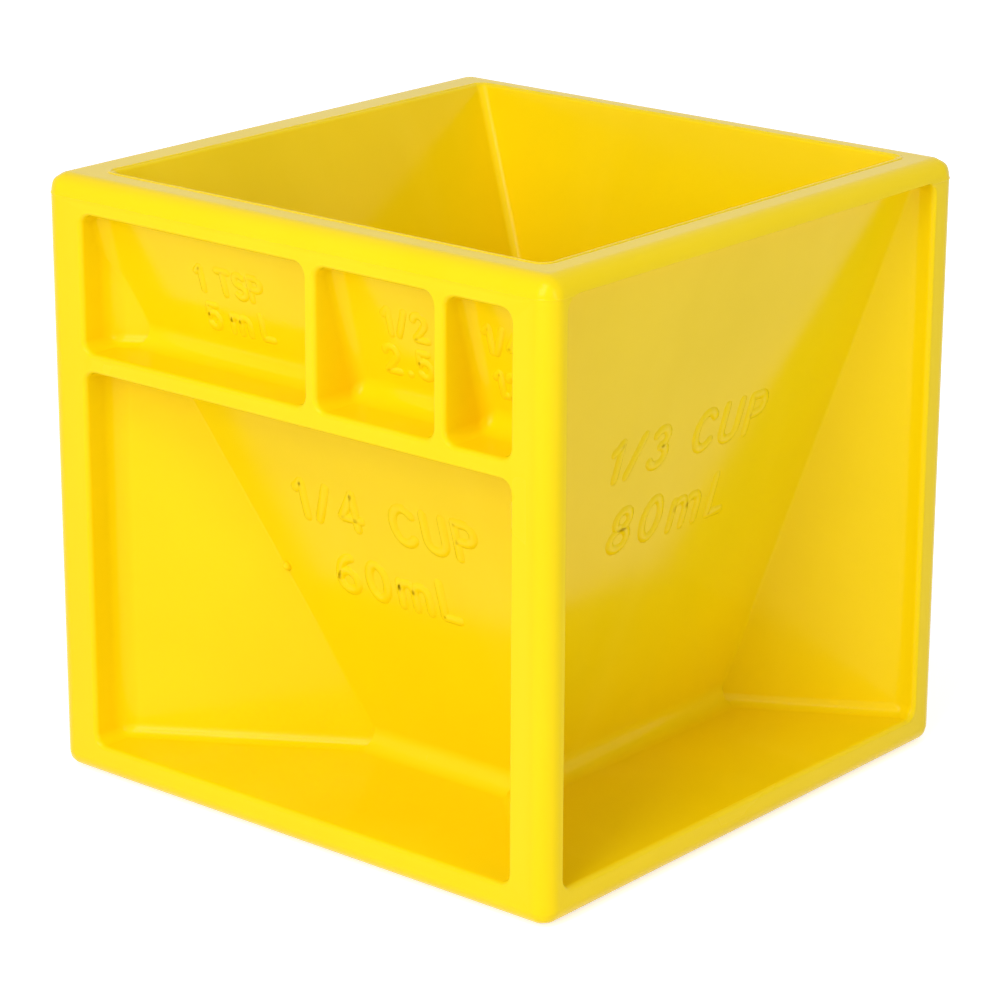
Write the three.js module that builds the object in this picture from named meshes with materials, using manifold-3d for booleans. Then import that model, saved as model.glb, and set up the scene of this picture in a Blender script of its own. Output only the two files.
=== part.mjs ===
import * as THREE from 'three';
import { mergeVertices, toCreasedNormals } from 'three/addons/utils/BufferGeometryUtils.js';
import Module from 'manifold-3d';

// Measuring cube in millimetres, +Z up, standing on its flat base with the origin under its middle.
// A tapered cup opens upwards and smaller measures open on the four sides around it.
// Front is the -Y side, right is +X, rear is +Y and left is -X.

// Outside of the cube
const CUBE_X = 88.6;
const CUBE_Y = 88.6;
const CUBE_H = 85.8;
const UPRIGHT_EDGE_R = 2.7;
const LEVEL_EDGE_R = 2.2;

// Floor plate, rim above the seam that runs all round, and lintels hanging below the seam
const FLOOR = 4.6;
const RIM = 2.95;
const LINTEL = 2.1;

// Cup walls: each outer face lies this far behind the face of the cube at the seam and at the floor.
// The posts stand clear of them by the seat gap.
const WALL = 3.65;
const CUP_CORNER_R = 1.2;
const CUP_LIP_R = 0.4;
const SEAT_GAP = 0.01;
const CUP_FRONT = { top: 3.25, foot: 25.4 };
const CUP_RIGHT = { top: 3.25, foot: 25.2 };
const CUP_REAR = { top: 2.25, foot: 16.1 };
const CUP_LEFT = { top: 4.7, foot: 39.0 };

// Upright webs run outwards from the foot of each cup corner at this plan angle. Their faces lie
// from and to this far left of that line.
const WEB_FRONT_LEFT = { deg: 211.8, from: -2.0, to: 0 };
const WEB_FRONT_RIGHT = { deg: -45.8, from: -1.0, to: 1.0 };
const WEB_REAR_RIGHT = { deg: 30.8, from: -2.5, to: 0 };
const WEB_REAR_LEFT = { deg: 158.7, from: -1.0, to: 1.0 };

// Mouths of the side measures
const MOUTH_CORNER_R = 1.6;
const LIP_R = 0.9;
const DIVIDER = 2.0;

// Side measures seen from outside: the posts at both ends, the row above the shelf, and the dividers
// from left to right with the share of the open width that the pocket before each of them takes
const FRONT = {
  left_post: 7.1,
  right_post: 6.5,
  upper_height: 19.1,
  shelf: 2.8,
  upper: { teaspoon_divider_left: 0.57, teaspoon_divider_right: 0.28 },
  lower: {},
};
const RIGHT = { left_post: 3.9, right_post: 5.4 };
const REAR = {
  left_post: 11.6,
  right_post: 12.6,
  upper_height: 27.4,
  shelf: 2.8,
  upper: { small_teaspoon_divider: 0.84 },
  lower: {},
};
const LEFT = {
  left_post: 8.0,
  right_post: 11.2,
  upper_height: 29.0,
  shelf: 2.7,
  upper: { tablespoon_divider_upper: 0.67 },
  lower: { tablespoon_divider_lower: 0.58 },
};

// Fineness of the rounded edges
const ARC_STEPS = 6;
const LIP_STEPS = 4;

// Cutting blocks reach past the cube on every side
const REACH = 2 * Math.max(CUBE_X, CUBE_Y, CUBE_H);
const OVERRUN = 4;
const YELLOW_PLASTIC = { color: 0xf5cf12, roughness: 0.3, metalness: 0 };

const SEAM_Z = CUBE_H - RIM;
const LINTEL_Z = SEAM_Z - LINTEL;
const QUARTER_TURN = Math.PI / 2;

// Sides in order round the cube. Each is drawn as the front and turned into place, and its spaces
// lie between the webs on its left and right.
const SIDES = {
  front: { ...FRONT, turns: 0, width: CUBE_X, out: CUBE_Y / 2, cup: CUP_FRONT, webs: ['front_left', 'front_right'] },
  right: { ...RIGHT, turns: 1, width: CUBE_Y, out: CUBE_X / 2, cup: CUP_RIGHT, webs: ['front_right', 'rear_right'] },
  rear: { ...REAR, turns: 2, width: CUBE_X, out: CUBE_Y / 2, cup: CUP_REAR, webs: ['rear_right', 'rear_left'] },
  left: { ...LEFT, turns: 3, width: CUBE_Y, out: CUBE_X / 2, cup: CUP_LEFT, webs: ['rear_left', 'front_left'] },
};

const wasm = await Module();
wasm.setup();

// Closed geometry as a solid that can be joined and cut
function solidOf(geometry) {
  geometry.deleteAttribute('normal');
  geometry.deleteAttribute('uv');
  const merged = mergeVertices(geometry);
  const vertProperties = new Float32Array(merged.getAttribute('position').array);
  const triVerts = new Uint32Array(merged.getIndex().array);
  return new wasm.Manifold(new wasm.Mesh({ numProp: 3, vertProperties, triVerts }));
}

// Points round a rectangle with rounded corners, counter-clockwise
function roundedRectangle(u0, u1, v0, v1, radius) {
  const outline = new THREE.Shape();
  outline.absarc(u1 - radius, v0 + radius, radius, -QUARTER_TURN, 0);
  outline.absarc(u1 - radius, v1 - radius, radius, 0, QUARTER_TURN);
  outline.absarc(u0 + radius, v1 - radius, radius, QUARTER_TURN, 2 * QUARTER_TURN);
  outline.absarc(u0 + radius, v0 + radius, radius, 2 * QUARTER_TURN, 3 * QUARTER_TURN);
  return outline.getPoints(ARC_STEPS / 2);
}

// Closed skin over a stack of convex rings of Vector3, each with the same number of points
function loft(rings) {
  const count = rings[0].length;
  const last = (rings.length - 1) * count;
  const index = [];
  for (let level = 0; level < last; level += count) {
    for (let i = 0; i < count; i += 1) {
      const a = level + i;
      const b = level + ((i + 1) % count);
      index.push(a, b, b + count, a, b + count, a + count);
    }
  }
  for (let i = 1; i < count - 1; i += 1) {
    index.push(0, i + 1, i, last, last + i, last + i + 1);
  }
  const geometry = new THREE.BufferGeometry().setFromPoints(rings.flat());
  return geometry.setIndex(index);
}

// Box with its faces exactly at these places
function boxBetween(x0, x1, y0, y1, z0, z1) {
  const plan = [[x0, y0], [x1, y0], [x1, y1], [x0, y1]];
  return loft([z0, z1].map((z) => plan.map(([x, y]) => new THREE.Vector3(x, y, z))));
}

function levelSlab(z0, z1) {
  return solidOf(boxBetween(-REACH, REACH, -REACH, REACH, z0, z1));
}

// Quarter arc from a face inwards: how far past the face and how far in, at each step
function edgeArc(radius, steps) {
  return Array.from({ length: steps + 1 }, (_, step) => {
    const angle = (QUARTER_TURN * step) / steps;
    return { along: radius * (1 - Math.cos(angle)), inset: radius * (1 - Math.sin(angle)) };
  });
}

// Outer cube with rounded upright edges and a rounded base and rim
function cubeOutside() {
  const ring = (z, inset) => {
    const x = CUBE_X / 2 - inset;
    const y = CUBE_Y / 2 - inset;
    const outline = roundedRectangle(-x, x, -y, y, UPRIGHT_EDGE_R - inset);
    return outline.map((point) => new THREE.Vector3(point.x, point.y, z));
  };
  const arc = edgeArc(LEVEL_EDGE_R, ARC_STEPS);
  const foot = arc.map(({ along, inset }) => ring(along, inset));
  const head = arc.map(({ along, inset }) => ring(CUBE_H - along, inset)).reverse();
  return solidOf(loft([...foot, ...head]));
}

// How much a cup wall leans outwards per millimetre going up
function cupLean(cup) {
  return (cup.foot - cup.top) / (SEAM_Z - FLOOR);
}

// How far behind the face of its side a cup wall's outer face lies at one height
function cupDepth(cup, z) {
  return cup.top + cupLean(cup) * (SEAM_Z - z);
}

function cupPlan(z, wall) {
  return {
    x0: cupDepth(CUP_LEFT, z) + wall - CUBE_X / 2,
    x1: CUBE_X / 2 - cupDepth(CUP_RIGHT, z) - wall,
    y0: cupDepth(CUP_FRONT, z) + wall - CUBE_Y / 2,
    y1: CUBE_Y / 2 - cupDepth(CUP_REAR, z) - wall,
  };
}

// Space inside the cup, open below its floor and widening in a rounded lip at the rim
function cupSpace() {
  const ring = (z, grow) => {
    const { x0, x1, y0, y1 } = cupPlan(z, WALL - grow);
    const outline = roundedRectangle(x0, x1, y0, y1, CUP_CORNER_R + grow);
    return outline.map((point) => new THREE.Vector3(point.x, point.y, z));
  };
  const lip = edgeArc(CUP_LIP_R, LIP_STEPS).map(({ along, inset }) => ring(CUBE_H - inset, along));
  return solidOf(loft([ring(FLOOR - OVERRUN, 0), ...lip, ring(CUBE_H + OVERRUN, CUP_LIP_R)]));
}

// Everything behind a plane at this gap in front of the outer face of one cup wall
function behindCupWall(side, gap) {
  const block = boxBetween(-REACH, REACH, 0, REACH, -REACH, REACH);
  block.rotateX(Math.atan(cupLean(side.cup)));
  block.translate(0, side.cup.top - side.out - gap, SEAM_Z);
  return solidOf(block.rotateZ(side.turns * QUARTER_TURN));
}

// Everything inside the outer faces of all four cup walls, grown by this gap
function cupHull(gap) {
  const blocks = Object.values(SIDES).map((side) => behindCupWall(side, gap));
  return blocks.reduce((hull, block) => hull.intersect(block));
}

// Everything beyond one face of a web, to the left or to the right of it
function beyondWeb({ web, foot }, face, isLeft) {
  const [y0, y1] = isLeft ? [face, REACH] : [-REACH, face];
  const block = boxBetween(-REACH, REACH, y0, y1, -REACH, REACH);
  block.rotateZ(THREE.MathUtils.degToRad(web.deg));
  return solidOf(block.translate(foot.x, foot.y, 0));
}

function mouthRing(side, mouth, depth, grow) {
  const { from, to, low, high } = mouth;
  const outline = roundedRectangle(from - grow, to + grow, low - grow, high + grow, MOUTH_CORNER_R + grow);
  return outline.map((point) => new THREE.Vector3(point.x, depth - side.out, point.y));
}

// Straight way in through one mouth, flared at the face so that a rounded lip is left
function wayIn(side, mouth) {
  const lip = edgeArc(LIP_R, LIP_STEPS).map(({ along, inset }) => mouthRing(side, mouth, inset, along));
  const rings = [mouthRing(side, mouth, side.out, 0), ...lip, mouthRing(side, mouth, -OVERRUN, LIP_R)];
  return solidOf(loft(rings).rotateZ(side.turns * QUARTER_TURN));
}

// Block from the face of one side to the middle of the cube
function sideBlock(side, from, to, z0, z1) {
  const block = boxBetween(from, to, -side.out, 0, z0, z1);
  return solidOf(block.rotateZ(side.turns * QUARTER_TURN));
}

function joined(solids) {
  return solids.reduce((whole, solid) => whole.add(solid));
}

// Span between the posts of one side
function spanOf(side) {
  return { from: side.left_post - side.width / 2, to: side.width / 2 - side.right_post };
}

// Dividers of one row with their place, and the mouths between them
function rowOf(side, shares, low, high) {
  const span = spanOf(side);
  const open = span.to - span.from - Object.keys(shares).length * DIVIDER;
  const row = { low, high, dividers: [], mouths: [] };
  let from = span.from;
  for (const [name, share] of Object.entries(shares)) {
    const to = from + share * open;
    row.mouths.push({ from, to, low, high });
    row.dividers.push({ name, from: to, to: to + DIVIDER });
    from = to + DIVIDER;
  }
  row.mouths.push({ from, to: span.to, low, high });
  return row;
}

const cupFoot = cupPlan(FLOOR, 0);
const webs = {
  front_left: { web: WEB_FRONT_LEFT, foot: { x: cupFoot.x0, y: cupFoot.y0 } },
  front_right: { web: WEB_FRONT_RIGHT, foot: { x: cupFoot.x1, y: cupFoot.y0 } },
  rear_right: { web: WEB_REAR_RIGHT, foot: { x: cupFoot.x1, y: cupFoot.y1 } },
  rear_left: { web: WEB_REAR_LEFT, foot: { x: cupFoot.x0, y: cupFoot.y1 } },
};

for (const side of Object.values(SIDES)) {
  const [before, after] = side.webs.map((name) => webs[name]);
  side.limits = [
    behindCupWall(side, 0),
    beyondWeb(before, before.web.to, false),
    beyondWeb(after, after.web.from, true),
  ];
  const { shelf, upper_height: upperHeight } = side;
  const shelfTop = LINTEL_Z - upperHeight;
  side.rows = shelf
    ? [rowOf(side, side.lower, FLOOR, shelfTop - shelf), rowOf(side, side.upper, shelfTop, LINTEL_Z)]
    : [rowOf(side, {}, FLOOR, SEAM_Z)];
  side.waysIn = joined(side.rows.flatMap((row) => row.mouths.map((mouth) => wayIn(side, mouth))));
}

// Part of a solid that lies in front of the cup and between the webs of one side
function inSpace(side, solid) {
  return side.limits.reduce((rest, limit) => rest.subtract(limit), solid);
}

function addPart(parent, name, solid) {
  const mesh = solid.getMesh();
  const geometry = new THREE.BufferGeometry();
  geometry.setAttribute('position', new THREE.BufferAttribute(mesh.vertProperties, mesh.numProp));
  geometry.setIndex(new THREE.BufferAttribute(mesh.triVerts, 1));
  const material = new THREE.MeshStandardMaterial(YELLOW_PLASTIC);
  const part = new THREE.Mesh(toCreasedNormals(geometry, Math.PI / 6), material);
  part.name = name;
  parent.add(part);
}

const cube = new THREE.Group();
cube.name = 'measuring_cube';

// Floor, cup and rim
const outside = cubeOutside();
const cupInside = cupSpace();
const allWaysIn = joined(Object.values(SIDES).map((side) => side.waysIn));
const rim = outside.intersect(levelSlab(SEAM_Z, CUBE_H + OVERRUN));
addPart(cube, 'base_plate', outside.intersect(levelSlab(-OVERRUN, FLOOR)).subtract(allWaysIn));
addPart(cube, 'cup_bowl', cupHull(0).intersect(levelSlab(FLOOR, SEAM_Z)).subtract(cupInside));
addPart(cube, 'rim_frame', rim.subtract(cupInside).subtract(allWaysIn));

// Shelves, lintels and dividers fill the space between the posts except where the mouths lead in
for (const [sideName, side] of Object.entries(SIDES)) {
  const group = new THREE.Group();
  group.name = `${sideName}_measures`;
  const fillings = [];
  const addFilling = (name, from, to, z0, z1) => {
    const block = sideBlock(side, from, to, z0, z1);
    fillings.push(block);
    addPart(group, name, inSpace(side, block).subtract(side.waysIn));
  };
  if (side.shelf) {
    const { from, to } = spanOf(side);
    const [lower, upper] = side.rows;
    addFilling(`shelf_${sideName}`, from, to, lower.high, upper.low);
    addFilling(`lintel_${sideName}`, from, to, upper.high, SEAM_Z);
    for (const { low, high, dividers } of side.rows) {
      for (const divider of dividers) {
        addFilling(divider.name, divider.from - MOUTH_CORNER_R, divider.to + MOUTH_CORNER_R, low, high);
      }
    }
    cube.add(group);
  }
  side.notPost = inSpace(side, joined([side.waysIn, ...fillings]));
}

// Each corner post carries the web that ties it to the nearest corner of the cup
const midX = (cupFoot.x0 + cupFoot.x1) / 2;
const midY = (cupFoot.y0 + cupFoot.y1) / 2;
const POSTS = {
  front_left: { sides: ['front', 'left'], quarter: [-REACH, midX, -REACH, midY] },
  front_right: { sides: ['front', 'right'], quarter: [midX, REACH, -REACH, midY] },
  rear_right: { sides: ['rear', 'right'], quarter: [midX, REACH, midY, REACH] },
  rear_left: { sides: ['rear', 'left'], quarter: [-REACH, midX, midY, REACH] },
};
const aroundCup = outside.subtract(cupHull(SEAT_GAP));
for (const [corner, { sides, quarter }] of Object.entries(POSTS)) {
  const block = solidOf(boxBetween(...quarter, FLOOR, SEAM_Z));
  const gaps = sides.map((sideName) => SIDES[sideName].notPost);
  const post = gaps.reduce((rest, gap) => rest.subtract(gap), aroundCup.intersect(block));
  addPart(cube, `post_${corner}`, post);
}

export default cube;
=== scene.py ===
"""Measuring cube of glossy yellow plastic: a tapered cup that opens upwards, with smaller measures
recessed into its four sides. Metres, +Z up, standing on its base with the origin under its middle.
Front is the -Y side, right is +X, rear is +Y and left is -X."""

import math

import bpy
from mathutils import Matrix, Vector


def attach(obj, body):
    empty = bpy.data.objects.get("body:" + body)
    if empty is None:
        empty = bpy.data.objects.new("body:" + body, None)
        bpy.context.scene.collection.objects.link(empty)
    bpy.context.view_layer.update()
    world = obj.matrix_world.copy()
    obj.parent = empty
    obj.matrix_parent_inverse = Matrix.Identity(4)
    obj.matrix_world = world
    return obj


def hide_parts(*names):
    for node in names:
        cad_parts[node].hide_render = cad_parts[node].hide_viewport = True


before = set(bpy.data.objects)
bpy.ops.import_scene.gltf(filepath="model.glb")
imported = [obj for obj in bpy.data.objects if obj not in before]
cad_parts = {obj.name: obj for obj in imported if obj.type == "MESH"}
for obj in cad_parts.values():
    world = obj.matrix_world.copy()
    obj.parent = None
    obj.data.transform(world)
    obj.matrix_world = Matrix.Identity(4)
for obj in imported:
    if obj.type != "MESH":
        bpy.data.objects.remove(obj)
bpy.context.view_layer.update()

MM = 0.001
QUARTER_TURN = math.pi / 2

# Outside of the cube
CUBE_X = 88.6 * MM
CUBE_Y = 88.6 * MM
CUBE_H = 85.8 * MM
UPRIGHT_EDGE_R = 2.7 * MM
LEVEL_EDGE_R = 2.2 * MM
RIM_EDGE_R = 2.6 * MM
EDGE_STEPS = 7

# Levels
FLOOR = 4.6 * MM
SEAM_Z = CUBE_H - 2.95 * MM
LINTEL_Z = SEAM_Z - 2.1 * MM

# Fine line of flash where the two halves of the mould meet below the rim, and the thin bead that the
# core leaves along the inner edge of the rim
FLASH = 0.07 * MM
FLASH_WIDTH = 0.34 * MM
RIM_BEAD_R = 0.3 * MM
RIM_BEAD_RISE = 0.14 * MM
RIM_TOP = CUBE_H - RIM_BEAD_RISE
RIM_BEAD_STEPS = 40
RIM_BEND_STEPS = 6
RIM_BEAD_THICKNESS = 0.88
RIM_BEAD_UNEVEN = 0.12
RIM_BEAD_RIPPLE = 1.7
RIM_BEAD_DRIFT = 0.31

# Cup walls: how far their outer face lies behind the face of the cube at the seam and at the floor
WALL = 3.65 * MM
CUP_FRONT = (3.25 * MM, 25.4 * MM)
CUP_RIGHT = (3.25 * MM, 25.2 * MM)
CUP_REAR = (2.25 * MM, 16.1 * MM)
CUP_LEFT = (4.7 * MM, 39.0 * MM)
CUP_CORNER_R = 1.2 * MM
CUP_LIP_R = 0.4 * MM
CUP_FOOT_FILLET = 3.0 * MM

# Webs from the foot of each cup corner to the corner of the cube: plan angle, and how far left of
# that line their two faces lie
WEBS = {
    "front_left": (211.8, -2.0 * MM, 0),
    "front_right": (-45.8, -1.0 * MM, 1.0 * MM),
    "rear_right": (30.8, -2.5 * MM, 0),
    "rear_left": (158.7, -1.0 * MM, 1.0 * MM),
}

# Mouths of the side measures, seen from outside: posts, row above the shelf, shelf, and where the
# dividers stand as shares of the open width. The top lip is the share of its rounding that a mouth
# keeps at its upper edge, and the return fillet is how far the rounding between its end and a web
# reaches.
MOUTH_CORNER_R = 1.6 * MM
LIP_R = 0.9 * MM
LIP_STEPS = 5
DIVIDER = 2.0 * MM
SIDES = {
    "front": {
        "turns": 0, "width": CUBE_X, "out": CUBE_Y / 2, "cup": CUP_FRONT,
        "top_lip": 1, "return_fillet": 2.2 * MM,
        "webs": ("front_left", "front_right"), "posts": (7.1 * MM, 6.5 * MM),
        "upper_height": 19.1 * MM, "shelf": 2.8 * MM, "upper": (0.57, 0.28), "lower": (),
    },
    "right": {
        "turns": 1, "width": CUBE_Y, "out": CUBE_X / 2, "cup": CUP_RIGHT,
        "top_lip": 0.3, "return_fillet": 1.1 * MM,
        "webs": ("front_right", "rear_right"), "posts": (3.9 * MM, 5.4 * MM),
        "upper_height": 0, "shelf": 0, "upper": (), "lower": (),
    },
    "rear": {
        "turns": 2, "width": CUBE_X, "out": CUBE_Y / 2, "cup": CUP_REAR,
        "top_lip": 1, "return_fillet": 2.2 * MM,
        "webs": ("rear_right", "rear_left"), "posts": (11.6 * MM, 12.6 * MM),
        "upper_height": 27.4 * MM, "shelf": 2.8 * MM, "upper": (0.84,), "lower": (),
    },
    "left": {
        "turns": 3, "width": CUBE_Y, "out": CUBE_X / 2, "cup": CUP_LEFT,
        "top_lip": 1, "return_fillet": 2.2 * MM,
        "webs": ("rear_left", "front_left"), "posts": (8.0 * MM, 11.2 * MM),
        "upper_height": 29.0 * MM, "shelf": 2.7 * MM, "upper": (0.67,), "lower": (0.58,),
    },
}

# How far the roundings inside a measure reach from each kind of edge
FILLETS = {
    ("floor", "wall"): 3.6 * MM,
    ("floor", "web"): 1.8 * MM,
    ("floor", "return"): MOUTH_CORNER_R,
    ("ceiling", "return"): MOUTH_CORNER_R,
    ("ceiling", "wall"): 0.8 * MM,
    ("ceiling", "web"): 0.8 * MM,
    ("return", "wall"): 2.0 * MM,
    ("wall", "web"): 0.35 * MM,
}
FILLET_STEPS = 5
OVERRUN = 4 * MM
SMOOTH_BELOW = math.radians(32)

# Raised volume marks: rounded beads on the slanted cup walls. Each has its side, its text, where
# its strokes start and end along the side, the level of its base line and its capital height.
# A bead is flattened, and its middle is sunk into the wall by a share of its half height.
BEAD_R = 0.98 * MM
SMALL_BEAD_R = 0.74 * MM
BEAD_FLATNESS = 0.7
BEAD_SUNK = 0.6
MARKS = {
    "mark_quarter_cup": ("front", "1/4 CUP", -11.6, 20.0, 40.3, 5.5),
    "mark_60_ml": ("front", "60mL", -6.6, 14.4, 30.1, 5.4),
    "mark_teaspoon": ("front", "1 TSP", -21.0, -9.4, 72.2, 3.4),
    "mark_5_ml": ("front", "5mL", -20.4, -9.0, 66.8, 3.4),
    "mark_half_teaspoon": ("front", "1/2", 12.2, 19.2, 72.1, 3.6),
    "mark_2_5_ml": ("front", "2.5", 11.2, 18.8, 66.7, 3.6),
    "mark_quarter_teaspoon": ("front", "1/4", 29.2, 35.2, 72.8, 3.6),
    "mark_1_25_ml": ("front", "1.25", 29.8, 36.0, 66.9, 3.2),
    "mark_third_cup": ("right", "1/3 CUP", -17.3, 15.7, 51.0, 5.6),
    "mark_80_ml": ("right", "80mL", -13.2, 11.6, 39.6, 6.1),
    "mark_eighth_cup": ("rear", "1/8 CUP", -15.5, 14.5, 37.0, 5.8),
    "mark_30_ml": ("rear", "30 mL", -10.5, 9.5, 27.0, 5.5),
    "mark_upper_rear_wide": ("rear", "7.5 mL", -14.0, 1.0, 70.0, 4.2),
    "mark_upper_rear_narrow": ("rear", "1.25", 23.4, 30.2, 70.4, 3.2),
    "mark_three_tablespoons": ("left", "45 mL", -26.0, -8.0, 31.0, 5.0),
    "mark_two_tablespoons": ("left", "30 mL", 10.5, 26.5, 31.0, 4.6),
    "mark_tablespoon": ("left", "15 mL", -22.5, -5.0, 69.0, 4.6),
    "mark_half_tablespoon": ("left", "7.5 mL", 14.0, 29.0, 69.0, 3.8),
}

PLASTIC_YELLOW = (0.955, 0.695, 0.002, 1)
# Paler yellow, used both for rubbed edges and for the painted reflection streaks
WORN_AND_SHEEN_YELLOW = (0.97, 0.72, 0.012, 1)

# Studio: the light of the world, the floor's own glow, each softbox's place, size and power, the
# camera's place, its angles around, above and of roll, its lens, and the floor's size and how far it
# lies below the cube
WORLD_LIGHT = 0.45
FLOOR_GLOW = 0.6
SOFTBOXES = {
    "key_softbox": ((0.12, -0.95, 0.44), (0.5, 0.5), 4.0),
    "fill_softbox": ((0.98, -0.2, 0.24), (0.4, 0.4), 1.6),
    "top_softbox": ((0.1, -0.62, 0.85), (0.4, 0.4), 2.4),
    "glint_softbox": ((0.3, -0.1, 1.0), (0.09, 0.09), 0.3),
}
CAMERA_PLACE = (0.31778, -0.38099, 0.19945)
CAMERA_ANGLES = (39.884, 18.0685, 0.2325)
CAMERA_LENS = 134.187
FLOOR_SIZE = 6
FLOOR_BELOW = 0.2 * MM


# Modelling by hand

def leave_edit():
    if bpy.context.object and bpy.context.object.mode != "OBJECT":
        bpy.ops.object.mode_set(mode="OBJECT")


def only(piece):
    leave_edit()
    bpy.ops.object.select_all(action="DESELECT")
    piece.select_set(True)
    bpy.context.view_layer.objects.active = piece


def settle(piece):
    """Put a piece's place, turn and scale into its mesh."""
    only(piece)
    bpy.ops.object.transform_apply(location=True, rotation=True, scale=True)


def block(name, low, high):
    """A box between two corners, to be shaped further."""
    leave_edit()
    bpy.ops.object.select_all(action="DESELECT")
    middle = [(a + b) / 2 for a, b in zip(low, high)]
    size = [b - a for a, b in zip(low, high)]
    bpy.ops.mesh.primitive_cube_add(size=1, location=middle, scale=size)
    piece = bpy.context.object
    piece.name = name
    settle(piece)
    return piece


def pick(piece, kind, test):
    """Select the vertices, edges or faces that pass a test of place or normal, in edit mode."""
    only(piece)
    mesh = piece.data
    for items in (mesh.vertices, mesh.edges, mesh.polygons):
        items.foreach_set("select", [False] * len(items))
    items = {"VERT": mesh.vertices, "EDGE": mesh.edges, "FACE": mesh.polygons}[kind]
    for item in items:
        item.select = bool(test(item))
    bpy.context.tool_settings.mesh_select_mode = (kind == "VERT", kind == "EDGE", kind == "FACE")
    bpy.ops.object.mode_set(mode="EDIT")


def pick_all(piece):
    only(piece)
    bpy.ops.object.mode_set(mode="EDIT")
    bpy.ops.mesh.select_all(action="SELECT")


def saw(piece, place, normal, keep_both=False):
    """Cut a piece by a plane. What lies on the normal's side goes, and the cut is closed."""
    pick_all(piece)
    bpy.ops.mesh.bisect(plane_co=place, plane_no=normal, use_fill=not keep_both,
                        clear_outer=not keep_both, threshold=1e-7)
    leave_edit()


def round_edges(piece, reach_of, steps):
    """Round the edges for which reach_of gives a reach, all in one go."""
    reaches = {}
    for edge in piece.data.edges:
        reach = reach_of(edge)
        if reach:
            reaches.setdefault(reach, set()).add(edge.index)
    widest = max(reaches)
    for reach, edges in reaches.items():
        pick(piece, "EDGE", lambda edge: edge.index in edges)
        bpy.ops.transform.edge_bevelweight(value=reach / widest)
    leave_edit()
    rounding = piece.modifiers.new("Rounding", "BEVEL")
    rounding.limit_method = "WEIGHT"
    rounding.width = widest
    rounding.segments = steps
    rounding.use_clamp_overlap = False
    rounding.miter_outer = "MITER_SHARP"
    bpy.ops.object.modifier_apply(modifier=rounding.name)


def carve(piece, tool):
    """Take the tool's shape out of the piece."""
    only(piece)
    cut = piece.modifiers.new("Carve", "BOOLEAN")
    cut.operation = "DIFFERENCE"
    cut.solver = "EXACT"
    cut.object = tool
    bpy.ops.object.modifier_apply(modifier=cut.name)
    bpy.data.objects.remove(tool)


def near(a, b, reach=1e-6):
    return abs(a - b) < reach


# Moulding

def cup_lean(cup):
    top, foot = cup
    return (foot - top) / (SEAM_Z - FLOOR)


def cup_depth(cup, z):
    return cup[0] + cup_lean(cup) * (SEAM_Z - z)


def cup_plan(z, wall):
    """Edges of the cup's space at one height: low and high in X, low and high in Y."""
    return (
        cup_depth(CUP_LEFT, z) + wall - CUBE_X / 2,
        CUBE_X / 2 - cup_depth(CUP_RIGHT, z) - wall,
        cup_depth(CUP_FRONT, z) + wall - CUBE_Y / 2,
        CUBE_Y / 2 - cup_depth(CUP_REAR, z) - wall,
    )


def outer_block():
    """The rounded block, with the line of flash standing a hair proud of its faces."""
    x, y = CUBE_X / 2 - FLASH, CUBE_Y / 2 - FLASH
    piece = block("cube_moulding", (-x, -y, 0), (x, y, RIM_TOP))

    def reach(edge):
        a, b = (piece.data.vertices[i].co for i in edge.vertices)
        if not near(a.z, b.z):
            return UPRIGHT_EDGE_R
        return RIM_EDGE_R if a.z > SEAM_Z else LEVEL_EDGE_R

    round_edges(piece, reach, EDGE_STEPS)
    for z in (SEAM_Z - FLASH_WIDTH / 2, SEAM_Z, SEAM_Z + FLASH_WIDTH / 2):
        saw(piece, (0, 0, z), (0, 0, 1), keep_both=True)
    pick(piece, "VERT", lambda v: near(v.co.z, SEAM_Z))
    grow = 1 + FLASH / (CUBE_X / 2)
    bpy.ops.transform.resize(value=(grow, grow, 1), center_override=(0, 0, SEAM_Z))
    leave_edit()
    return piece


def lip_arc(radius):
    """How far out of the face and how far sideways a rounded lip is at each of its steps."""
    angles = [QUARTER_TURN * step / LIP_STEPS for step in range(LIP_STEPS + 1)]
    return [(radius * math.sin(a), radius * (1 - math.cos(a))) for a in angles]


def flare(tool, out_of, rectangles):
    """Widen the end of a cutting tool step by step: the tool's end face has the first rectangle
    (u0, u1, v0, v1, corner radius, level) and gets the others one after the other."""
    u_axis, v_axis, level_axis = out_of

    for old, new in zip(rectangles, rectangles[1:]):
        pick(tool, "FACE", lambda f: all(near(tool.data.vertices[i].co[level_axis], old[5])
                                         for i in f.vertices))
        move = Vector((0, 0, 0))
        move[level_axis] = new[5] - old[5]
        bpy.ops.mesh.extrude_region_move(TRANSFORM_OT_translate={"value": move})
        for right in (False, True):
            for upper in (False, True):
                centre_old, centre_new = Vector((0, 0, 0)), Vector((0, 0, 0))
                for centre, r in ((centre_old, old), (centre_new, new)):
                    centre[u_axis] = r[1] - r[4] if right else r[0] + r[4]
                    centre[v_axis] = r[3] - r[4] if upper else r[2] + r[4]
                    centre[level_axis] = new[5]
                middle_u, middle_v = (old[0] + old[1]) / 2, (old[2] + old[3]) / 2
                pick(tool, "VERT", lambda v: near(v.co[level_axis], new[5])
                     and (v.co[u_axis] > middle_u) == right and (v.co[v_axis] > middle_v) == upper)
                grow = Vector((1, 1, 1))
                grow[u_axis] = grow[v_axis] = new[4] / old[4]
                bpy.ops.transform.resize(value=grow, center_override=centre_old)
                bpy.ops.transform.translate(value=centre_new - centre_old)
    leave_edit()


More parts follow.
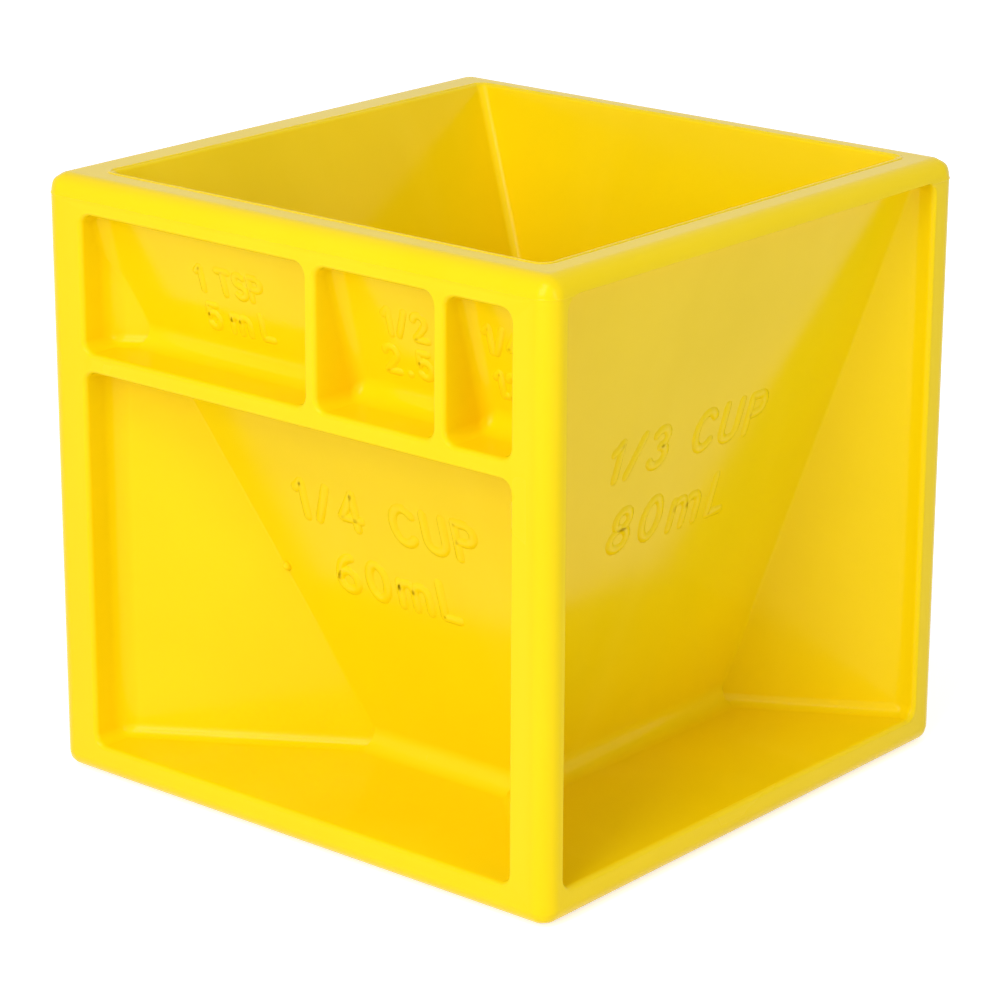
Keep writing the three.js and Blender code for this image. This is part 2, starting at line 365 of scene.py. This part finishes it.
def cup_tool():
    """The space inside the cup, widening in a rounded lip at the rim."""
    level = RIM_TOP - CUP_LIP_R
    x0, x1, y0, y1 = cup_plan(FLOOR, WALL)
    tool = block("cup_space", (x0, y0, FLOOR), (x1, y1, level))
    X0, X1, Y0, Y1 = cup_plan(level, WALL)
    pick(tool, "VERT", lambda v: v.co.z > FLOOR + OVERRUN)
    widen = ((X1 - X0) / (x1 - x0), (Y1 - Y0) / (y1 - y0), 1)
    bpy.ops.transform.resize(value=widen, center_override=((x0 + x1) / 2, (y0 + y1) / 2, level))
    bpy.ops.transform.translate(value=((X0 + X1 - x0 - x1) / 2, (Y0 + Y1 - y0 - y1) / 2, 0))
    leave_edit()

    def reach(edge):
        a, b = (tool.data.vertices[i].co for i in edge.vertices)
        if near(a.z, level) and near(b.z, level):
            return 0
        return CUP_FOOT_FILLET if near(a.z, b.z) else CUP_CORNER_R

    round_edges(tool, reach, FILLET_STEPS)
    rings = []
    for up, wider in lip_arc(CUP_LIP_R):
        plan = cup_plan(level + up, WALL - wider)
        rings.append((*plan, CUP_CORNER_R + wider, level + up))
    x0, x1, y0, y1, r, _ = rings[-1]
    rings.append((x0, x1, y0, y1, r, RIM_TOP + OVERRUN))
    flare(tool, (0, 1, 2), rings)
    return tool


def turned(vector, turns):
    return Matrix.Rotation(turns * QUARTER_TURN, 3, "Z") @ Vector(vector)


def back_planes(side):
    """Planes behind a side's measures, drawn as for the front: what each is, a point and a normal
    that points away from the measure."""
    cup = side["cup"]
    planes = [("wall", Vector((0, cup[0] - side["out"], SEAM_Z)), Vector((0, 1, cup_lean(cup))))]
    x0, x1, y0, y1 = cup_plan(FLOOR, 0)
    feet = {"front_left": (x0, y0, 0), "front_right": (x1, y0, 0),
            "rear_right": (x1, y1, 0), "rear_left": (x0, y1, 0)}
    for name, is_before in zip(side["webs"], (True, False)):
        deg, right_face, left_face = WEBS[name]
        angle = math.radians(deg)
        left = Vector((-math.sin(angle), math.cos(angle), 0))
        place = Vector(feet[name]) + left * (left_face if is_before else right_face)
        normal = -left if is_before else left
        turns = -side["turns"]
        planes.append(("web", turned(place, turns), turned(normal, turns)))
    return planes


def mouths(side):
    """Rectangles of a side's mouths: from, to, low and high, drawn as for the front."""
    left_post, right_post = side["posts"]
    start, end = left_post - side["width"] / 2, side["width"] / 2 - right_post
    if side["shelf"]:
        shelf_top = LINTEL_Z - side["upper_height"]
        rows = [(side["lower"], FLOOR, shelf_top - side["shelf"]),
                (side["upper"], shelf_top, LINTEL_Z)]
    else:
        rows = [((), FLOOR, SEAM_Z)]
    found = []
    for shares, low, high in rows:
        open_width = end - start - len(shares) * DIVIDER
        u = start
        for share in shares:
            found.append((u, u + share * open_width, low, high))
            u += share * open_width + DIVIDER
        found.append((u, end, low, high))
    return found


def measure_tool(side, mouth):
    """The space of one side measure, with rounded inner edges and a flared mouth."""
    u0, u1, low, high = mouth
    face = -side["out"]
    level = face + LIP_R
    tool = block("measure_space", (u0, level, low), (u1, side["out"] / 2, high))
    planes = back_planes(side)
    for _, place, normal in planes:
        saw(tool, place, normal)

    def kind_of(face_normal):
        if near(abs(face_normal.z), 1, 1e-3):
            return "floor" if face_normal.z < 0 else "ceiling"
        if near(abs(face_normal.x), 1, 1e-3):
            return "return"
        for kind, _, normal in planes:
            if near(face_normal.dot(normal.normalized()), 1, 1e-3):
                return kind
        return "mouth"

    sides_of = {}
    for polygon in tool.data.polygons:
        for key in polygon.edge_keys:
            sides_of.setdefault(key, []).append(kind_of(polygon.normal))

    def reach(edge):
        kinds = tuple(sorted(sides_of[edge.key]))
        return side["return_fillet"] if kinds == ("return", "web") else FILLETS.get(kinds, 0)

    round_edges(tool, reach, FILLET_STEPS)
    top_lip = side["top_lip"]
    rings = [(u0 - wider, u1 + wider, low - wider, high + wider * top_lip,
              MOUTH_CORNER_R + wider, level - out) for out, wider in lip_arc(LIP_R)]
    u0, u1, low, high, r, _ = rings[-1]
    rings.append((u0, u1, low, high, r, face - OVERRUN))
    flare(tool, (0, 2, 1), rings)
    tool.rotation_euler.z = side["turns"] * QUARTER_TURN
    settle(tool)
    return tool


def cube_moulding():
    piece = outer_block()
    carve(piece, cup_tool())
    for side in SIDES.values():
        for mouth in mouths(side):
            carve(piece, measure_tool(side, mouth))
    only(piece)
    bpy.ops.object.shade_smooth_by_angle(angle=SMOOTH_BELOW)
    evened = piece.modifiers.new("Even shading", "WEIGHTED_NORMAL")
    evened.keep_sharp = True
    evened.weight = 80
    bpy.ops.object.modifier_apply(modifier=evened.name)
    return piece


# Raised volume marks

def bow(x, y, rx, ry, start, end, steps=9):
    """Points of an elliptical arc between two angles in degrees."""
    angles = [math.radians(start + (end - start) * step / steps) for step in range(steps + 1)]
    return [(x + rx * math.cos(a), y + ry * math.sin(a)) for a in angles]


# Plain one-stroke letters on a capital height of 1: width and strokes
LETTERS = {
    " ": (0.3, []),
    ".": (0.0, [[(0, 0), (0, 0.02)]]),
    "/": (0.42, [[(0, 0), (0.42, 1)]]),
    "0": (0.58, [bow(0.29, 0.5, 0.29, 0.5, 90, 450, 20)]),
    "1": (0.24, [[(0, 0.78), (0.24, 1), (0.24, 0)]]),
    "2": (0.56, [bow(0.28, 0.72, 0.28, 0.28, 165, -35) + [(0, 0), (0.56, 0)]]),
    "3": (0.56, [bow(0.26, 0.76, 0.25, 0.24, 150, -80) + bow(0.26, 0.27, 0.3, 0.27, 80, -155)]),
    "4": (0.62, [[(0.46, 0), (0.46, 1), (0, 0.28), (0.62, 0.28)]]),
    "5": (0.56, [[(0.5, 1), (0.08, 1), (0.04, 0.52)] + bow(0.26, 0.33, 0.3, 0.33, 125, -145)]),
    "6": (0.58, [bow(0.58, 0.3, 0.58, 0.7, 100, 180) + bow(0.29, 0.29, 0.29, 0.29, 180, 540, 16)]),
    "7": (0.54, [[(0, 1), (0.54, 1), (0.18, 0)]]),
    "8": (0.58, [bow(0.29, 0.76, 0.24, 0.24, -90, 270, 14) + bow(0.29, 0.26, 0.29, 0.26, 90, -270, 16)]),
    "C": (0.64, [bow(0.36, 0.5, 0.36, 0.5, 42, 318, 14)]),
    "L": (0.48, [[(0, 1), (0, 0), (0.48, 0)]]),
    "P": (0.56, [[(0, 0), (0, 1)] + bow(0.3, 0.74, 0.26, 0.26, 90, -90) + [(0, 0.48)]]),
    "S": (0.54, [bow(0.28, 0.75, 0.25, 0.25, 40, 250) + bow(0.27, 0.26, 0.27, 0.26, 70, -145)]),
    "T": (0.6, [[(0, 1), (0.6, 1)], [(0.3, 1), (0.3, 0)]]),
    "U": (0.6, [[(0, 1)] + bow(0.3, 0.3, 0.3, 0.3, 180, 360) + [(0.6, 1)]]),
    "m": (0.92, [[(0, 0.7), (0, 0)], bow(0.23, 0.46, 0.23, 0.24, 180, 0) + [(0.46, 0)],
                 bow(0.69, 0.46, 0.23, 0.24, 180, 0) + [(0.92, 0)]]),
}
ROUND_END = ((0.5, 0.87), (0.87, 0.5), (1.0, 0.1))
SHARP_TURN = math.radians(50)


def smooth_runs(points):
    """The stroke's points as runs without a sharp turn, each starting where the last one ends."""
    runs = [[Vector(point) for point in points[:2]]]
    for point in points[2:]:
        run, tip = runs[-1], Vector(point)
        step = tip - run[-1]
        if near(step.length, 0):
            continue
        if (run[-1] - run[-2]).angle(step) > SHARP_TURN:
            runs.append([run[-1], tip])
        else:
            run.append(tip)
    return runs


def rounded_stroke(points, radius):
    """The stroke's points with their thickness, drawn in to a round end at both ends."""
    strand = [(Vector((*point, 0)), 1.0) for point in points]
    for _ in range(2):
        tip, before = strand[-1][0], strand[-2][0]
        out = (tip - before).normalized() * radius
        strand += [(tip + out * further, thin) for further, thin in ROUND_END]
        strand.reverse()
    return strand


def bead_text(name, text, width, height, radius):
    """Beads along the letters' strokes, with the letters spaced to fill the width."""
    spare = width / height - sum(LETTERS[letter][0] for letter in text)
    gap = spare / (len(text) - 1)
    curve = bpy.data.curves.new(name, "CURVE")
    curve.dimensions = "3D"
    curve.bevel_depth = radius
    curve.bevel_resolution = 3
    curve.use_fill_caps = True
    pen = 0
    for letter in text:
        letter_width, strokes = LETTERS[letter]
        for run in (run for stroke in strokes for run in smooth_runs(stroke)):
            points = [((pen + x) * height, y * height) for x, y in run]
            strand = rounded_stroke(points, radius)
            spline = curve.splines.new("POLY")
            spline.points.add(len(strand) - 1)
            for target, (place, thickness) in zip(spline.points, strand):
                target.co = (*place, 1)
                target.radius = thickness
        pen += letter_width + gap
    mark = bpy.data.objects.new(name, curve)
    bpy.context.scene.collection.objects.link(mark)
    only(mark)
    bpy.ops.object.convert(target="MESH")
    return bpy.context.object


def wall_mark(name, side, text, start, end, base, height):
    """A mark lying on the outer face of one cup wall, standing proud as a rounded bead."""
    cup, lean = side["cup"], cup_lean(side["cup"])
    radius = BEAD_R if height > 5 * MM else SMALL_BEAD_R
    mark = bead_text(name, text, end - start, height, radius)
    right = Vector((1, 0, 0))
    outwards = Vector((0, -1, -lean)).normalized()
    up = outwards.cross(right)
    foot = Vector((start, cup_depth(cup, base) - side["out"], base))
    foot -= outwards * radius * BEAD_FLATNESS * BEAD_SUNK
    axes = Matrix((right, up, outwards * BEAD_FLATNESS)).transposed()
    on_wall = Matrix.Translation(foot) @ axes.to_4x4()
    mark.matrix_world = Matrix.Rotation(side["turns"] * QUARTER_TURN, 4, "Z") @ on_wall
    settle(mark)
    pick_all(mark)
    bpy.ops.mesh.remove_doubles(threshold=0.002 * MM)
    bpy.ops.mesh.normals_make_consistent(inside=False)
    only(mark)
    bpy.ops.object.shade_smooth()
    return mark


def rim_path():
    """Points around the rim's inner edge, rounded at the corners and evenly spaced between them."""
    x0, x1, y0, y1 = cup_plan(RIM_TOP, WALL - CUP_LIP_R - RIM_BEAD_R)
    r = CUP_CORNER_R + CUP_LIP_R + RIM_BEAD_R
    centres = ((x1 - r, y1 - r), (x0 + r, y1 - r), (x0 + r, y0 + r), (x1 - r, y0 + r))
    bends = [bow(*centre, r, r, 90 * turn, 90 * turn + 90, RIM_BEND_STEPS)
             for turn, centre in enumerate(centres)]
    path = []
    for bend, following in zip(bends, bends[1:] + bends[:1]):
        (x, y), (next_x, next_y) = bend[-1], following[0]
        shares = [step / RIM_BEAD_STEPS for step in range(1, RIM_BEAD_STEPS)]
        path += bend
        path += [(x + (next_x - x) * share, y + (next_y - y) * share) for share in shares]
    return path


def rim_bead():
    """The thin bead along the rim's inner edge, a little uneven like flash."""
    path = rim_path()
    curve = bpy.data.curves.new("rim_bead", "CURVE")
    curve.dimensions = "3D"
    curve.bevel_depth = RIM_BEAD_R
    curve.bevel_resolution = 3
    spline = curve.splines.new("POLY")
    spline.points.add(len(path) - 1)
    spline.use_cyclic_u = True
    for number, (point, (x, y)) in enumerate(zip(spline.points, path)):
        uneven = math.sin(number * RIM_BEAD_RIPPLE) * math.sin(number * RIM_BEAD_DRIFT + 1)
        point.co = (x, y, 0, 1)
        point.radius = RIM_BEAD_THICKNESS + RIM_BEAD_UNEVEN * uneven
    bead = bpy.data.objects.new("rim_bead", curve)
    bpy.context.scene.collection.objects.link(bead)
    only(bead)
    bpy.ops.object.convert(target="MESH")
    bead = bpy.context.object
    pick_all(bead)
    bpy.ops.transform.resize(value=(1, 1, RIM_BEAD_RISE / RIM_BEAD_R), center_override=(0, 0, 0))
    bpy.ops.transform.translate(value=(0, 0, RIM_TOP))
    bpy.ops.mesh.normals_make_consistent(inside=False)
    only(bead)
    bpy.ops.object.shade_smooth()
    return bead


# Plastic

def texture(nodes, links, kind, place, **values):
    """A procedural texture at the piece's own place, with its inputs set by name."""
    node = nodes.new(kind)
    links.new(place, node.inputs["Vector"])
    for name, value in values.items():
        node.inputs[name].default_value = value
    return node


def stretched(nodes, links, place, scale, turn):
    """The piece's own place, stretched and turned, for the painted reflection and flow streaks and for
    scratches.
    """
    mapping = nodes.new("ShaderNodeMapping")
    mapping.inputs["Scale"].default_value = scale
    mapping.inputs["Rotation"].default_value = [math.radians(a) for a in turn]
    links.new(place, mapping.inputs["Vector"])
    return mapping.outputs["Vector"]


def spread(nodes, links, value, low, high, to_low, to_high):
    """A value's range from low to high stretched to another range and held inside it."""
    node = nodes.new("ShaderNodeMapRange")
    node.clamp = True
    for name, number in zip(("From Min", "From Max", "To Min", "To Max"), (low, high, to_low, to_high)):
        node.inputs[name].default_value = number
    links.new(value, node.inputs["Value"])
    return node.outputs["Result"]


def combined(nodes, links, operation, a, b):
    """One arithmetic step on two values, each either a number or another node's output."""
    node = nodes.new("ShaderNodeMath")
    node.operation = operation
    for value, socket in zip((a, b), node.inputs):
        if isinstance(value, (int, float)):
            socket.default_value = value
        else:
            links.new(value, socket)
    return node.outputs[0]


def tinted(nodes, links, share, base, tint):
    """One colour mixed into another by a share that varies over the surface."""
    mix = nodes.new("ShaderNodeMix")
    mix.data_type = "RGBA"
    links.new(share, mix.inputs["Factor"])
    for value, name in ((base, "A"), (tint, "B")):
        socket = next(s for s in mix.inputs if s.name == name and s.type == "RGBA")
        if isinstance(value, tuple):
            socket.default_value = value
        else:
            links.new(value, socket)
    return next(s for s in mix.outputs if s.type == "RGBA")


def glossy_plastic(name, colour, worn_and_sheen):
    """Moulded yellow plastic: cloudy pigment, faint lighter streaks of painted reflection whose noise
    also gives flow waviness in the bump, rubbed edges, hair scratches.
    """
    material = bpy.data.materials.new(name)
    material.use_nodes = True
    nodes, links = material.node_tree.nodes, material.node_tree.links
    shader = nodes["Principled BSDF"]
    shader.inputs["IOR"].default_value = 1.49
    shader.inputs["Specular IOR Level"].default_value = 0.12
    place = nodes.new("ShaderNodeTexCoord").outputs["Object"]

    clouds = texture(nodes, links, "ShaderNodeTexNoise", place, Scale=38, Detail=3, Roughness=0.5)
    # Stretched noise: lighter streaks of painted reflection in the colour, and flow waviness in the bump
    flow_and_sheen_place = stretched(nodes, links, place, (60, 60, 9), (0, 12, 8))
    flow_and_sheen = texture(nodes, links, "ShaderNodeTexNoise", flow_and_sheen_place, Scale=1, Detail=4, Distortion=0.8)
    specks = texture(nodes, links, "ShaderNodeTexVoronoi", place, Scale=330)
    peel = texture(nodes, links, "ShaderNodeTexNoise", place, Scale=420, Detail=2, Roughness=0.45)
    first = stretched(nodes, links, place, (900, 40, 900), (0, 0, 34))
    second = stretched(nodes, links, place, (900, 900, 30), (22, 0, 15))
    hairs = [texture(nodes, links, "ShaderNodeTexNoise", p, Scale=1, Detail=2) for p in (first, second)]
    scratches = combined(nodes, links, "MAXIMUM", *[
        spread(nodes, links, hair.outputs["Fac"], 0.74, 0.84, 0, 1) for hair in hairs])
    pointed = nodes.new("ShaderNodeNewGeometry").outputs["Pointiness"]
    rub = combined(nodes, links, "MULTIPLY", spread(nodes, links, pointed, 0.505, 0.56, 0, 1),
                   spread(nodes, links, clouds.outputs["Fac"], 0.4, 0.65, 0.35, 1))

    darker = tuple(c * 0.955 for c in colour[:3]) + (1,)
    shade = spread(nodes, links, clouds.outputs["Fac"], 0.35, 0.68, 0, 1)
    tone = tinted(nodes, links, shade, colour, darker)
    # Painted reflection: lighter streaks mixed toward the paler yellow
    sheen_streak = spread(nodes, links, flow_and_sheen.outputs["Fac"], 0.5, 0.72, 0, 0.35)
    tone = tinted(nodes, links, sheen_streak, tone, worn_and_sheen)
    speck = spread(nodes, links, specks.outputs["Distance"], 0.0, 0.06, 0.4, 0)
    tone = tinted(nodes, links, speck, tone, darker)
    tone = tinted(nodes, links, combined(nodes, links, "MULTIPLY", rub, 0.6), tone, worn_and_sheen)
    links.new(tone, shader.inputs["Base Color"])

    gloss = spread(nodes, links, clouds.outputs["Fac"], 0.3, 0.7, 0.13, 0.2)
    worn = combined(nodes, links, "MULTIPLY", rub, 0.08)
    hair_rough = combined(nodes, links, "MULTIPLY", scratches, 0.1)
    rough = combined(nodes, links, "ADD", gloss, combined(nodes, links, "ADD", worn, hair_rough))
    links.new(rough, shader.inputs["Roughness"])

    relief = combined(nodes, links, "SUBTRACT", combined(nodes, links, "ADD",
                      combined(nodes, links, "MULTIPLY", peel.outputs["Fac"], 0.5), flow_and_sheen.outputs["Fac"]),
                      combined(nodes, links, "MULTIPLY", scratches, 0.4))
    bump = nodes.new("ShaderNodeBump")
    bump.inputs["Strength"].default_value = 0.25
    bump.inputs["Distance"].default_value = 0.05 * MM
    links.new(relief, bump.inputs["Height"])
    links.new(bump.outputs["Normal"], shader.inputs["Normal"])
    return material


# Stage

def seen_directly(nodes, links):
    """1 where the eye, a reflection or clear glass looks straight at it, otherwise 0."""
    seen = nodes.new("ShaderNodeLightPath").outputs
    eye_or_gloss = combined(nodes, links, "MAXIMUM", seen["Is Camera Ray"], seen["Is Glossy Ray"])
    return combined(nodes, links, "MAXIMUM", eye_or_gloss, seen["Is Transmission Ray"])


def floor():
    leave_edit()
    bpy.ops.object.select_all(action="DESELECT")
    bpy.ops.mesh.primitive_plane_add(size=FLOOR_SIZE, location=(0, 0, -FLOOR_BELOW))
    plane = bpy.context.object
    plane.name = "studio_floor"
    settle(plane)
    material = bpy.data.materials.new("studio_floor_white")
    material.use_nodes = True
    nodes, links = material.node_tree.nodes, material.node_tree.links
    shader = nodes["Principled BSDF"]
    shader.inputs["Base Color"].default_value = (0.9, 0.9, 0.9, 1)
    shader.inputs["Roughness"].default_value = 0.7
    glow = nodes.new("ShaderNodeEmission")
    glow.inputs["Color"].default_value = (1, 1, 1, 1)
    share = combined(nodes, links, "MULTIPLY", seen_directly(nodes, links), FLOOR_GLOW)
    links.new(share, glow.inputs["Strength"])
    both = nodes.new("ShaderNodeAddShader")
    links.new(shader.outputs[0], both.inputs[0])
    links.new(glow.outputs[0], both.inputs[1])
    links.new(both.outputs[0], nodes["Material Output"].inputs["Surface"])
    plane.data.materials.append(material)


def surroundings():
    world = bpy.context.scene.world or bpy.data.worlds.new("studio")
    bpy.context.scene.world = world
    world.use_nodes = True
    nodes, links = world.node_tree.nodes, world.node_tree.links
    nodes.clear()
    soft = nodes.new("ShaderNodeBackground")
    soft.inputs["Color"].default_value = (1, 1, 1, 1)
    soft.inputs["Strength"].default_value = WORLD_LIGHT
    white = nodes.new("ShaderNodeBackground")
    white.inputs["Color"].default_value = (1, 1, 1, 1)
    white.inputs["Strength"].default_value = 1.0
    chosen = nodes.new("ShaderNodeMixShader")
    output = nodes.new("ShaderNodeOutputWorld")
    links.new(seen_directly(nodes, links), chosen.inputs["Fac"])
    links.new(soft.outputs[0], chosen.inputs[1])
    links.new(white.outputs[0], chosen.inputs[2])
    links.new(chosen.outputs[0], output.inputs["Surface"])


def softbox(name, place, size, power):
    light = bpy.data.lights.new(name, "AREA")
    light.shape = "RECTANGLE"
    light.size, light.size_y = size
    light.energy = power
    lamp = bpy.data.objects.new(name, light)
    bpy.context.scene.collection.objects.link(lamp)
    lamp.location = place
    aim = Vector((0, 0, CUBE_H / 2)) - Vector(place)
    lamp.rotation_euler = aim.to_track_quat("-Z", "Y").to_euler()


def camera():
    """Above the front right corner, with the cube's upright edges leaning together slightly."""
    azimuth, elevation, roll = (math.radians(a) for a in CAMERA_ANGLES)
    back = Vector((math.sin(azimuth) * math.cos(elevation),
                   -math.cos(azimuth) * math.cos(elevation), math.sin(elevation)))
    level_right = (-back).cross(Vector((0, 0, 1))).normalized()
    level_up = level_right.cross(-back)
    right = math.cos(roll) * level_right + math.sin(roll) * level_up
    up = math.cos(roll) * level_up - math.sin(roll) * level_right
    data = bpy.data.cameras.new("camera")
    data.sensor_width = 36
    data.lens = CAMERA_LENS
    data.clip_start = 0.01
    eye = bpy.data.objects.new("camera", data)
    bpy.context.scene.collection.objects.link(eye)
    turn = Matrix((right, up, back)).transposed().to_4x4()
    eye.matrix_world = Matrix.Translation(CAMERA_PLACE) @ turn
    bpy.context.scene.camera = eye


plastic = glossy_plastic("glossy_yellow_plastic", PLASTIC_YELLOW, WORN_AND_SHEEN_YELLOW)
moulding = cube_moulding()
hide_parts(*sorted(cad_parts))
marks = [wall_mark(name, SIDES[side], text, *(size * MM for size in sizes))
         for name, (side, text, *sizes) in MARKS.items()]
for piece in (moulding, rim_bead(), *marks):
    piece.data.materials.clear()
    piece.data.materials.append(plastic)
    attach(piece, "root")

floor()
surroundings()
for name, (place, size, power) in SOFTBOXES.items():
    softbox(name, place, size, power)
camera()
bpy.context.scene.view_settings.view_transform = "Standard"
